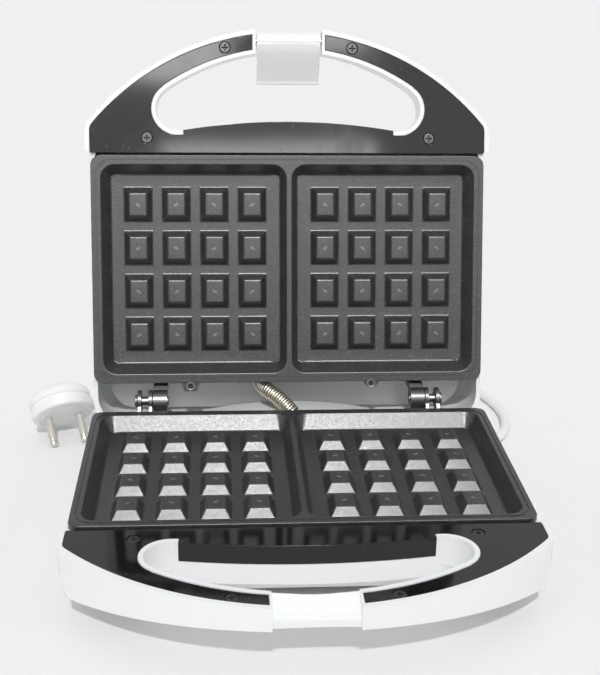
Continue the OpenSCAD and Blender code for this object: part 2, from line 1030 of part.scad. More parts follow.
// clip drawn locked, then turned back to where it hangs
module latch_clip() {
  color(white)
    lid_open()
      translate([0, latch_y, latch_z])
        rotate([latch_locked - latch_turn, 0, 0])
          difference() {
            translate([-18.1, 0, 0])
              rotate([90, 0, 90])
                linear_extrude(36.2)
                  union() {
                    circle(r = 5.2, $fn = 48);
                    polygon([[-4.6, -2.4], [-6.9, -3.4], [-6.9, -21.2], [-8, -23.4],
                             [-7, -24.2], [-4.2, -22.4], [-1.4, -21.6], [-1.4, -20],
                             [-4.2, -19.6], [-4.2, -4.4], [-1, -4.8]]);
                    polygon([[0, 5.2], [-5.2, 1.4], [-6.9, -3.4], [-2, -3.4]]);
                  }
            translate([-20, 0, 0])
              rotate([0, 90, 0])
                cylinder(r = 1.56, h = 40, $fn = 32);
            for (s = [-1, 1])
              translate([s * 19.6, -10, -27])
                rotate([0, s * -6, 0])
                  translate([s > 0 ? 0 : -6, 0, -3])
                    cube([6, 20, 22]);
          }
}

base_shell();
base_handle_insert();
base_insert_screws();
lower_plate();
lower_plate_screws();
lower_heating_element();
lower_heat_tray();
hinge_bracket_left();
hinge_bracket_right();
bracket_screws();
hinge_pin_left();
hinge_pin_right();
rubber_feet();
foot_screws();
terminal_block();
base_wires();
cord_clamp();
strain_relief();
power_cord();
plug_body();
plug_pins();
lid_shell();
lid_handle_insert();
lid_insert_screws();
upper_plate();
upper_plate_screws();
upper_heating_element();
upper_heat_tray();
lid_hinge_left();
lid_hinge_right();
lid_hinge_screws();
thermostat();
thermal_fuse();
power_lens();
ready_lens();
lamp_board();
lid_wires();
latch_pin();
conduit_spring();
latch_clip();
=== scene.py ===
"""Two-slice waffle maker standing open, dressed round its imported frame.

Lengths in the classes are millimetres in the maker's drawing unless a name ends in _m.
The drawing has its origin between the closed halves; Half turns it into the row frame.
"""

import json
import logging
import math
from dataclasses import dataclass
from enum import Enum
from typing import Callable, Dict, List, Optional, Sequence, Tuple

import bmesh
import bpy
from mathutils import Matrix, Vector

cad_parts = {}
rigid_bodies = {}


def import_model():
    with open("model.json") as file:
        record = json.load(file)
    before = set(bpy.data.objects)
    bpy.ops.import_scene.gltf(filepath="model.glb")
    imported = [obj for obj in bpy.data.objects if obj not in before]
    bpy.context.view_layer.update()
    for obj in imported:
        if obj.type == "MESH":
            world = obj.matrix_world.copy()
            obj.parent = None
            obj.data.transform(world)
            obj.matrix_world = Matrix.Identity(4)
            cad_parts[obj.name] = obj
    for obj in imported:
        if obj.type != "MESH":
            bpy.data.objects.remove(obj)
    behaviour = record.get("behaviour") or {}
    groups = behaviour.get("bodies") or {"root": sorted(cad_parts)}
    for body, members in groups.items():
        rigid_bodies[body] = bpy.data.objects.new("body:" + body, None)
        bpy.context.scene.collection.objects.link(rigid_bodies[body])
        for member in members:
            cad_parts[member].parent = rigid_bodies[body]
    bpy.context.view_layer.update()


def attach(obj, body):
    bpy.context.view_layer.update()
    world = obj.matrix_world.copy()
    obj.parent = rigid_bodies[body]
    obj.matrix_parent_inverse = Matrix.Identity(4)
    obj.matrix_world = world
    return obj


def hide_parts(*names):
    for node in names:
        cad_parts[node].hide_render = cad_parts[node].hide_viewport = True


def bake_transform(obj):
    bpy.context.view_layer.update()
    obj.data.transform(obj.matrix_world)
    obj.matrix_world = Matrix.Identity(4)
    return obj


log = logging.getLogger("waffle_maker")

MM = 0.001
Point = Tuple[float, float, float]
EdgeRule = Callable[[Vector, Vector], bool]

LIFT = 38.0
SHIFT = -5.1
GAP = 0.6
HINGE_Y = 76.0
HINGE_Z = 1.9
OPEN_DEGREES = 105.0
CELL_X = 53.95
PITCH_X = 21.85
PITCH_Y = 25.0


class Body(Enum):
    """The moving bodies of the frame."""

    BASE = "base"
    LID = "lid"
    LATCH = "latch"


class Half(Enum):
    """The two halves of the casing, which share one drawing."""

    BASE = "base"
    LID = "lid"

    def to_drawing(self) -> Matrix:
        """Matrix from the row frame in metres to the half's drawing in millimetres.

        Returns:
            A 4x4 matrix; in the drawing z = 0 is the rim plane and the cells open upward.
        """
        grow = Matrix.Scale(1 / MM, 4)
        down = Matrix.Translation((0.0, -SHIFT, -LIFT))
        if self is Half.BASE:
            return down @ grow
        to_hinge = Matrix.Translation((0.0, -HINGE_Y, -HINGE_Z))
        shut = Matrix.Rotation(math.radians(OPEN_DEGREES), 4, "X")
        turn_over = Matrix.Translation((0, 0, GAP)) @ Matrix.Diagonal((1, 1, -1, 1))
        return turn_over @ to_hinge.inverted() @ shut @ to_hinge @ down @ grow


# ---- finishes


def new_node(tree: bpy.types.NodeTree, kind: str, **values: object) -> bpy.types.Node:
    """Adds a shader node and sets its sockets.

    Args:
        tree: the node tree.
        kind: the node's type without its ShaderNode prefix.
        **values: socket names with underscores for spaces, and their values.

    Returns:
        The node.
    """
    node = tree.nodes.new(f"ShaderNode{kind}")
    for name, value in values.items():
        node.inputs[name.replace("_", " ")].default_value = value
    return node


def blend_colours(
    tree: bpy.types.NodeTree,
    share: bpy.types.NodeSocket,
    first: Sequence[float],
    second: Sequence[float],
) -> bpy.types.NodeSocket:
    """Blends two colours in a node tree.

    Args:
        tree: the node tree.
        share: socket that is 0 for the first colour and 1 for the second.
        first: linear colour.
        second: linear colour.

    Returns:
        The colour socket.
    """
    node = new_node(tree, "Mix")
    node.data_type = "RGBA"
    node.inputs["A"].default_value = (*first, 1.0)
    node.inputs["B"].default_value = (*second, 1.0)
    tree.links.new(share, node.inputs["Factor"])
    return [s for s in node.outputs if s.type == "RGBA"][0]


class Recipe:
    """Node tree of one finish, with a principled shader at its end."""

    def __init__(
        self, name: str, colour: Sequence[float], roughness: float, metallic: float = 0.0
    ) -> None:
        """Starts a material.

        Args:
            name: the material's name.
            colour: base colour, linear red, green and blue.
            roughness: base roughness.
            metallic: how metallic the surface is.
        """
        self.material = bpy.data.materials.new(name)
        self.material.use_nodes = True
        self.tree = self.material.node_tree
        self.shader = self.tree.nodes["Principled BSDF"]
        self.set(Base_Color=(*colour, 1.0), Roughness=roughness, Metallic=metallic)
        self.material.diffuse_color = (*colour, 1.0)
        self.coords = self.tree.nodes.new("ShaderNodeTexCoord").outputs["Object"]
        self.rolled = 0.0

    def link(self, out: bpy.types.NodeSocket, into: bpy.types.NodeSocket) -> None:
        """Joins two sockets."""
        self.tree.links.new(out, into)

    def set(self, **values: object) -> None:
        """Sets constant sockets of the shader.

        Args:
            **values: socket names with underscores for spaces, and their values.
        """
        for name, value in values.items():
            self.shader.inputs[name.replace("_", " ")].default_value = value

    def texture(
        self, kind: str, stretch: Optional[Point] = None, **values: float
    ) -> bpy.types.Node:
        """Adds a texture on Object coordinates.

        Args:
            kind: the node's type without its ShaderNodeTex prefix.
            stretch: factor along each axis, or None.
            **values: socket names and their values.

        Returns:
            The texture node.
        """
        node = new_node(self.tree, f"Tex{kind}", **values)
        place = self.coords
        if stretch:
            mapping = new_node(self.tree, "Mapping", Scale=stretch)
            self.link(place, mapping.inputs["Vector"])
            place = mapping.outputs["Vector"]
        self.link(place, node.inputs["Vector"])
        return node

    def noise(
        self,
        scale: float,
        detail: float = 3.0,
        rough: float = 0.5,
        stretch: Optional[Point] = None,
        warp: float = 0.0,
    ) -> bpy.types.NodeSocket:
        """Soft noise on Object coordinates.

        Args:
            scale: how many lumps there are to a metre.
            detail: octaves.
            rough: share of the finer octaves.
            stretch: factor along each axis, or None.
            warp: distortion.

        Returns:
            The factor socket.
        """
        node = self.texture(
            "Noise", stretch, Scale=scale, Detail=detail, Roughness=rough, Distortion=warp
        )
        return node.outputs["Fac"]

    def grains(self, scale: float) -> bpy.types.NodeSocket:
        """One random colour for each small grain, with scale grains to a metre."""
        return self.texture("Voronoi", Scale=scale).outputs["Color"]

    def specks(self, scale: float) -> bpy.types.NodeSocket:
        """Distance to the nearest speck centre, zero at a speck."""
        return self.texture("Voronoi", Scale=scale).outputs["Distance"]

    def between(
        self,
        value: bpy.types.NodeSocket,
        low: float,
        high: float,
        to_low: float = 0.0,
        to_high: float = 1.0,
    ) -> bpy.types.NodeSocket:
        """Maps a range of values onto another, held at its ends.

        Args:
            value: the socket to map.
            low: input at the lower end.
            high: input at the upper end.
            to_low: output at the lower end.
            to_high: output at the upper end.

        Returns:
            The mapped socket.
        """
        node = new_node(
            self.tree, "MapRange", From_Min=low, From_Max=high, To_Min=to_low, To_Max=to_high
        )
        node.clamp = True
        self.link(value, node.inputs["Value"])
        return node.outputs["Result"]

    def maths(
        self, kind: str, a: bpy.types.NodeSocket, b: bpy.types.NodeSocket
    ) -> bpy.types.NodeSocket:
        """Result of a two-value sum such as ADD, MULTIPLY or MAXIMUM."""
        node = new_node(self.tree, "Math")
        node.operation = kind
        self.link(a, node.inputs[0])
        self.link(b, node.inputs[1])
        return node.outputs[0]

    def tint(
        self, share: bpy.types.NodeSocket, first: Sequence[float], second: Sequence[float]
    ) -> None:
        """Feeds the base colour: first where share is 0, second where it is 1."""
        colour = blend_colours(self.tree, share, first, second)
        self.link(colour, self.shader.inputs["Base Color"])

    def gloss(self, value: bpy.types.NodeSocket) -> None:
        """Feeds the roughness."""
        self.link(value, self.shader.inputs["Roughness"])

    def relief(
        self, height: bpy.types.NodeSocket, strength: float, depth_mm: float
    ) -> "Recipe":
        """Bumps the surface.

        Args:
            height: height socket, 0 to 1.
            strength: share of the full effect.
            depth_mm: depth of a full step.

        Returns:
            The recipe itself.
        """
        node = new_node(self.tree, "Bump", Strength=strength, Distance=depth_mm * MM)
        self.link(height, node.inputs["Height"])
        if self.rolled:
            edge = new_node(self.tree, "Bevel", Radius=self.rolled * MM)
            edge.samples = 6
            self.link(edge.outputs["Normal"], node.inputs["Normal"])
        self.link(node.outputs["Normal"], self.shader.inputs["Normal"])
        return self


@dataclass(frozen=True)
class Finish:
    """A named finish; each kind mixes its own recipe once and shares it."""

    name: str
    slot: str

    def mix(self) -> Recipe:
        """The finish's node tree; each kind of finish has its own."""
        raise NotImplementedError(self.name)

    def material(self) -> bpy.types.Material:
        """The shared material, made the first time it is asked for."""
        found = bpy.data.materials.get(self.name)
        return found or self.mix().material


@dataclass(frozen=True)
class MouldedWhite(Finish):
    """Glossy white moulding with faint handling marks."""

    colour: Point = (0.86, 0.868, 0.872)
    aged: Point = (0.852, 0.857, 0.854)
    roughness: float = 0.30

    def mix(self) -> Recipe:
        """White plastic with slight warm patches and a soft sheen."""
        r = Recipe(self.name, self.colour, self.roughness)
        r.set(IOR=1.49, Coat_Weight=0.08, Coat_Roughness=0.12)
        patches = r.between(r.noise(14.0, 4.0), 0.42, 0.72)
        r.tint(patches, self.colour, self.aged)
        wear = r.noise(60.0, 5.0, 0.6)
        r.gloss(r.between(wear, 0.3, 0.75, self.roughness - 0.02, self.roughness + 0.04))
        return r.relief(r.noise(1600.0, 2.0), 0.12, 0.03)


@dataclass(frozen=True)
class PianoBlack(Finish):
    """High-gloss black moulding with faint smears and dust."""

    colour: Point = (0.0055, 0.0055, 0.0065)
    dust: Point = (0.10, 0.09, 0.08)
    roughness: float = 0.07

    def mix(self) -> Recipe:
        """Mirror-like black under finger smears and a little dust."""
        r = Recipe(self.name, self.colour, self.roughness)
        r.set(IOR=1.46)
        r.rolled = 0.4
        smear = r.between(r.noise(38.0, 4.0, 0.65, (1.0, 0.5, 0.5), 1.2), 0.5, 0.74)
        specks = r.between(r.specks(210.0), 0.10, 0.05)
        rare = r.between(r.noise(33.0, 2.0), 0.54, 0.60)
        dust = r.maths("MULTIPLY", specks, rare)
        r.tint(dust, self.colour, self.dust)
        rough = r.maths(
            "ADD",
            r.between(smear, 0.0, 1.0, self.roughness, self.roughness + 0.07),
            r.between(dust, 0.0, 1.0, 0.0, 0.22),
        )
        r.gloss(rough)
        return r.relief(r.noise(20.0, 1.0), 0.18, 0.35)


@dataclass(frozen=True)
class NonStickCoating(Finish):
    """Dark sprayed non-stick coating with a fine sparkle."""

    dark: Point = (0.021, 0.021, 0.022)
    flake: Point = (0.24, 0.24, 0.25)
    roughness: float = 0.40

    def mix(self) -> Recipe:
        """Satin dark grey, brighter where the flakes lie."""
        r = Recipe(self.name, self.dark, self.roughness)
        r.set(IOR=1.55, Specular_IOR_Level=0.62)
        grain = r.between(r.grains(1900.0), 0.55, 0.95)
        fine = r.between(r.noise(2600.0, 2.0), 0.45, 0.75)
        flake = r.maths("MULTIPLY", grain, fine)
        r.tint(flake, self.dark, self.flake)
        low, high = self.roughness - 0.05, self.roughness + 0.06
        r.gloss(r.between(r.grains(1900.0), 0.2, 0.9, low, high))
        return r.relief(r.noise(2600.0, 2.0, 0.5), 0.10, 0.03)


@dataclass(frozen=True)
class SatinPaint(Finish):
    """Dark satin paint on pressed steel, rubbed at the high spots."""

    colour: Point = (0.11, 0.108, 0.105)
    rubbed: Point = (0.26, 0.255, 0.25)
    roughness: float = 0.36

    def mix(self) -> Recipe:
        """Dark paint with light rubbing and a fine orange peel."""
        r = Recipe(self.name, self.colour, self.roughness, 0.8)
        rub = r.between(r.noise(240.0, 4.0, 0.7), 0.60, 0.78)
        r.tint(rub, self.colour, self.rubbed)
        r.gloss(r.between(rub, 0.0, 1.0, self.roughness, self.roughness - 0.12))
        return r.relief(r.noise(1300.0, 2.0), 0.25, 0.04)


@dataclass(frozen=True)
class PlatedSteel(Finish):
    """Bright plated steel, drawn or turned."""

    colour: Point = (0.56, 0.565, 0.58)
    stain: Point = (0.34, 0.325, 0.30)
    roughness: float = 0.22

    def mix(self) -> Recipe:
        """Bright metal with fine draw lines and a few dull spots."""
        r = Recipe(self.name, self.colour, self.roughness, 1.0)
        spots = r.between(r.noise(320.0, 4.0, 0.6), 0.55, 0.8)
        r.tint(spots, self.colour, self.stain)
        lines = r.noise(2400.0, 2.0, 0.5, (0.2, 1.0, 1.0))
        r.gloss(r.between(lines, 0.3, 0.7, self.roughness - 0.06, self.roughness + 0.14))
        return r.relief(lines, 0.10, 0.02)


@dataclass(frozen=True)
class HeatedSheath(Finish):
    """Steel sheath of a heating element, darkened by heat."""

    colour: Point = (0.16, 0.15, 0.145)
    straw: Point = (0.24, 0.17, 0.10)

    def mix(self) -> Recipe:
        """Grey metal with straw and blue heat colours."""
        r = Recipe(self.name, self.colour, 0.45, 0.9)
        r.tint(r.between(r.noise(45.0, 3.0), 0.4, 0.65), self.colour, self.straw)
        r.gloss(r.between(r.noise(500.0, 3.0), 0.3, 0.7, 0.38, 0.58))
        return r.relief(r.noise(1800.0, 2.0), 0.2, 0.03)


@dataclass(frozen=True)
class RolledSheet(Finish):
    """Rolled sheet metal with its grain across the appliance."""

    colour: Point = (0.62, 0.62, 0.63)
    dull: Point = (0.46, 0.46, 0.46)

    def mix(self) -> Recipe:
        """Pale sheet with rolling lines."""
        r = Recipe(self.name, self.colour, 0.34, 1.0)
        lines = r.noise(1500.0, 3.0, 0.6, (0.03, 1.0, 1.0))
        r.tint(r.between(lines, 0.35, 0.7), self.colour, self.dull)
        r.gloss(r.between(lines, 0.3, 0.7, 0.28, 0.44))
        return r.relief(lines, 0.15, 0.02)


@dataclass(frozen=True)
class SoftSheath(Finish):
    """Soft vinyl of the cord, its sleeve and the plug."""

    colour: Point = (0.80, 0.805, 0.80)
    grubby: Point = (0.70, 0.685, 0.65)
    roughness: float = 0.46

    def mix(self) -> Recipe:
        """White vinyl with slight grime and a dull skin."""
        r = Recipe(self.name, self.colour, self.roughness)
        r.set(IOR=1.47)
        grime = r.between(r.noise(42.0, 5.0, 0.65), 0.52, 0.78)
        r.tint(grime, self.colour, self.grubby)
        low, high = self.roughness - 0.08, self.roughness + 0.1
        r.gloss(r.between(r.noise(180.0, 3.0), 0.3, 0.7, low, high))
        return r.relief(r.noise(900.0, 2.0), 0.16, 0.05)


@dataclass(frozen=True)
class MattMoulding(Finish):
    """Plain matt plastic or rubber of small inner pieces."""

    colour: Point = (0.60, 0.57, 0.50)
    mottle: Point = (0.52, 0.49, 0.42)
    roughness: float = 0.62

    def mix(self) -> Recipe:
        """Matt moulding with a fine spark-eroded grain."""
        r = Recipe(self.name, self.colour, self.roughness)
        r.tint(r.between(r.noise(120.0, 4.0), 0.4, 0.7), self.colour, self.mottle)
        r.gloss(r.between(r.noise(700.0), 0.3, 0.7, self.roughness - 0.08, self.roughness + 0.1))
        return r.relief(r.noise(2200.0, 2.0), 0.35, 0.05)


@dataclass(frozen=True)
class WovenSleeve(Finish):
    """Glass-fibre sleeving over the inner wires."""

    colour: Point = (0.66, 0.62, 0.52)
    shade: Point = (0.42, 0.39, 0.31)

    def mix(self) -> Recipe:
        """Cream sleeving with a fine diagonal weave."""
        r = Recipe(self.name, self.colour, 0.72)
        node = r.texture("Wave", Scale=420.0, Distortion=1.5)
        node.wave_type, node.bands_direction = "BANDS", "DIAGONAL"
        r.tint(node.outputs["Fac"], self.shade, self.colour)
        return r.relief(node.outputs["Fac"], 0.5, 0.12)


@dataclass(frozen=True)
class ClearLens(Finish):
    """Tinted clear moulding of a lamp window."""

    colour: Point = (0.55, 0.02, 0.012)
    deep: Point = (0.25, 0.005, 0.004)

    def mix(self) -> Recipe:
        """Clear tinted plastic over a faintly ribbed back."""
        r = Recipe(self.name, self.colour, 0.08)
        r.set(IOR=1.58, Transmission_Weight=0.55, Coat_Weight=0.3, Coat_Roughness=0.04)
        r.tint(r.between(r.noise(300.0, 2.0), 0.4, 0.7), self.colour, self.deep)
        return r.relief(r.noise(700.0, 1.0), 0.1, 0.05)


WHITE = MouldedWhite("moulded_white", "white_plastic")
BLACK = PianoBlack("piano_black", "black_plastic")
COATING = NonStickCoating("non_stick_coating", "non_stick_plate")
# Brighter coating: painted highlight in the leaf pits of the blocks, and the lighter rings round
# the lug sockets.
PIT_HIGHLIGHT_AND_LUG_RING = NonStickCoating(
    "pit_highlight_and_lug_ring_coating", "non_stick_plate", (0.19, 0.19, 0.195), (0.42, 0.42, 0.43), 0.30
)
PAINT = SatinPaint("hinge_paint", "hinge_steel")
PLATED = PlatedSteel("plated_steel", "bright_steel")
SCREW_STEEL = PlatedSteel(
    "screw_plating", "bright_steel", (0.10, 0.097, 0.093), (0.05, 0.047, 0.044), 0.34
)
# Near-black painted shade for the floors of the screw slots and the lug sockets.
SLOT_SHADE = MattMoulding(
    "slot_shade", "bright_steel", (0.012, 0.012, 0.012), (0.02, 0.019, 0.018)
)
RIVET = PlatedSteel(
    "rivet_plating", "bright_steel", (0.20, 0.195, 0.19), (0.12, 0.115, 0.11), 0.36
)
SPIRAL = PlatedSteel(
    "spiral_steel", "bright_steel", (0.66, 0.62, 0.53), (0.48, 0.44, 0.36), 0.3
)
SHEATH = HeatedSheath("element_sheath_metal", "element_sheath")
SHEET = RolledSheet("reflector_sheet", "tray_sheet")
CORD_SKIN = SoftSheath("cord_vinyl", "cord_plastic")
PLUG_SKIN = SoftSheath(
    "plug_vinyl", "plug_plastic", (0.84, 0.845, 0.845), (0.78, 0.77, 0.75), 0.34
)
FOOT = MattMoulding(
    "foot_rubber_black", "foot_rubber", (0.02, 0.02, 0.02), (0.03, 0.029, 0.028), 0.75
)
TERMINAL = MattMoulding("terminal_moulding", "terminal_plastic")
BOARD = MattMoulding(
    "lamp_board_laminate", "terminal_plastic", (0.05, 0.16, 0.07), (0.04, 0.12, 0.05), 0.5
)
SLEEVE = WovenSleeve("wire_sleeving", "wire_sleeve")
PIN_SLEEVE = MattMoulding(
    "pin_sleeve", "pin_metal", (0.56, 0.53, 0.48), (0.48, 0.45, 0.40), 0.4
)
NICKEL = PlatedSteel("pin_nickel", "pin_metal", (0.72, 0.69, 0.63), (0.50, 0.45, 0.36), 0.2)
RED_LENS = ClearLens("red_lens_clear", "red_lens")
GREEN_LENS = ClearLens("green_lens_clear", "green_lens", (0.02, 0.40, 0.06), (0.005, 0.2, 0.02))


# ---- bench


class Workpiece:
    """One piece on the bench: a bmesh in metres, and the tools that shape it."""

    def __init__(self, name: str) -> None:
        """Starts an empty piece called name."""
        self.name = name
        self.bm = bmesh.new()

    @classmethod
    def copy_of(cls, node: str, name: str, keep_flat: float = 0.25) -> "Workpiece":
        """Copy of a frame node, with its loose triangles merged.

        Args:
            node: the frame node's name.
            name: the new piece's name.
            keep_flat: faces that turn by fewer degrees than this become one; 0 keeps them all.

        Returns:
            The new workpiece.
        """
        piece = cls(name)
        piece.bm.from_mesh(bpy.data.objects[node].data)
        bmesh.ops.remove_doubles(piece.bm, verts=piece.bm.verts, dist=2e-6)
        if keep_flat > 0:
            bmesh.ops.dissolve_limit(
                piece.bm,
                angle_limit=math.radians(keep_flat),
                verts=piece.bm.verts,
                edges=piece.bm.edges,
            )
        return piece

    def soften(
        self,
        width: float,
        rule: Optional[EdgeRule] = None,
        drawing: Optional[Matrix] = None,
        angle: float = 30.0,
        segments: int = 3,
        clamp: bool = False,
    ) -> None:
        """Rounds the sharp edges that the rule picks.

        Args:
            width: bevel width in millimetres.
            rule: test on an edge's two ends, in the drawing's millimetres, or None for all.
            drawing: matrix from metres to the drawing, or None for the row frame.
            angle: least turn between the two faces, in degrees.
            segments: facets across the round.
            clamp: stops the rounds from running into each other.
        """
        to = drawing or Matrix.Scale(1 / MM, 4)
        picked = [
            e
            for e in self.bm.edges
            if len(e.link_faces) == 2
            and e.calc_face_angle(0.0) > math.radians(angle)
            and (rule is None or rule(to @ e.verts[0].co, to @ e.verts[1].co))
        ]
        if picked:
            bmesh.ops.bevel(
                self.bm,
                geom=picked,
                offset=width * MM,
                offset_type="OFFSET",
                segments=segments,
                profile=0.5,
                affect="EDGES",
                clamp_overlap=clamp,
                material=-1,
                face_strength_mode="ALL",
            )
            bmesh.ops.remove_doubles(self.bm, verts=self.bm.verts, dist=1e-6)
        log.debug("%s: %d edges rounded", self.name, len(picked))

    def turned(
        self, profile: Sequence[Tuple[float, float]], place: Matrix, sides: int = 48
    ) -> List[bmesh.types.BMVert]:
        """Adds a turned solid.

        Args:
            profile: radius and height pairs in millimetres, from one end of the axis to the other.
            place: matrix in metres that carries the axis, Z, into place.
            sides: steps of the turn.

        Returns:
            The new vertices.
        """
        before = set(self.bm.verts)
        line = [self.bm.verts.new((r * MM, 0.0, z * MM)) for r, z in profile]
        edges = [self.bm.edges.new(pair) for pair in zip(line, line[1:])]
        bmesh.ops.spin(
            self.bm,
            geom=line + edges,
            cent=(0, 0, 0),
            axis=(0, 0, 1),
            angle=math.tau,
            steps=sides,
            use_merge=True,
            use_duplicate=False,
        )
        made = [v for v in self.bm.verts if v not in before]
        bmesh.ops.remove_doubles(self.bm, verts=made, dist=1e-6)
        made = [v for v in self.bm.verts if v not in before]
        faces = list({f for v in made for f in v.link_faces})
        bmesh.ops.recalc_face_normals(self.bm, faces=faces)
        bmesh.ops.transform(self.bm, matrix=place, verts=made)
        return made

    def paint(self, verts: Sequence[bmesh.types.BMVert], index: int) -> None:
        """Gives the faces of these vertices the finish with that index."""
        for f in {f for v in verts for f in v.link_faces}:
            f.material_index = index

    def done(
        self,
        body: Optional[Body],
        finishes: Sequence[Finish],
        replaces: Sequence[str] = (),
        smooth: float = 32.0,
        weighted: bool = True,
    ) -> bpy.types.Object:
        """Takes the piece off the bench and sets it on its body.

        Args:
            body: the body it rides on, or None to leave it on no body.
            finishes: its finishes; faces take the first unless painted with another.
            replaces: frame nodes that it stands for.
            smooth: edges that turn more than this many degrees stay crisp.
            weighted: lets the large faces rule the shading.

        Returns:
            The finished object.
        """
        mesh = bpy.data.meshes.new(self.name)
        self.bm.to_mesh(mesh)
        self.bm.free()
        stale = mesh.attributes.get("custom_normal")
        if stale is not None:
            mesh.attributes.remove(stale)
        for finish in finishes:
            mesh.materials.append(finish.material())
        mesh.shade_smooth()
        mesh.set_sharp_from_angle(angle=math.radians(smooth))
        piece = into_scene(self.name, mesh)
        if weighted:
            even = piece.modifiers.new("even_shading", "WEIGHTED_NORMAL")
            even.keep_sharp = True
            even.use_face_influence = True
        if body is not None:
            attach(piece, body.value)
        if replaces:
            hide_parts(*replaces)
        log.info("%s made, %d faces", self.name, len(mesh.polygons))
        return piece


def dress(node: str, finish: Finish) -> None:
    """Gives a frame node its finish and leaves its mesh alone.

    Args:
        node: the frame node's name.
        finish: the finish it takes.
    """
    piece = bpy.data.objects[node]
    piece.data.materials.clear()
    piece.data.materials.append(finish.material())
    log.info("%s dressed in %s", node, finish.name)


def into_scene(name: str, data: bpy.types.ID) -> bpy.types.Object:
    """New object with this data, linked into the scene."""
    made = bpy.data.objects.new(name, data)
    bpy.context.scene.collection.objects.link(made)
    return made


def round_curve(name: str, radius_m: float, resolution: int) -> bpy.types.Curve:
    """New round 3D curve with closed ends."""
    curve = bpy.data.curves.new(name, "CURVE")
    curve.dimensions = "3D"
    curve.bevel_depth = radius_m
    curve.bevel_resolution = resolution
    curve.use_fill_caps = True
    return curve


def smooth_line(route: Sequence[Point], steps: int) -> List[Vector]:
    """Points of a smooth line through a route.

    Args:
        route: points in millimetres.
        steps: how many points stand for each span of the route.

    Returns:
        The points in metres.
    """
    p = [Vector(q) * MM for q in route]
    last, line = len(p) - 1, []
    for i in range(last):
        a, b, c, d = p[max(i - 1, 0)], p[i], p[i + 1], p[min(i + 2, last)]
        for k in range(steps):
            t = k / steps
            line.append(
                0.5 * (2 * b + (c - a) * t + (2 * a - 5 * b + 4 * c - d) * t * t
                       + (3 * b - a - 3 * c + d) * t**3)
            )
    line.append(p[-1])
    return line


def along(start: Point, towards: Point) -> Matrix:
    """Matrix that puts Z on a direction and the origin at a point.

    Args:
        start: origin in metres.
        towards: direction.

    Returns:
        The 4x4 matrix.
    """
    turn = Vector(towards).normalized().to_track_quat("Z", "Y").to_matrix().to_4x4()
    return Matrix.Translation(start) @ turn


# ---- camera and light


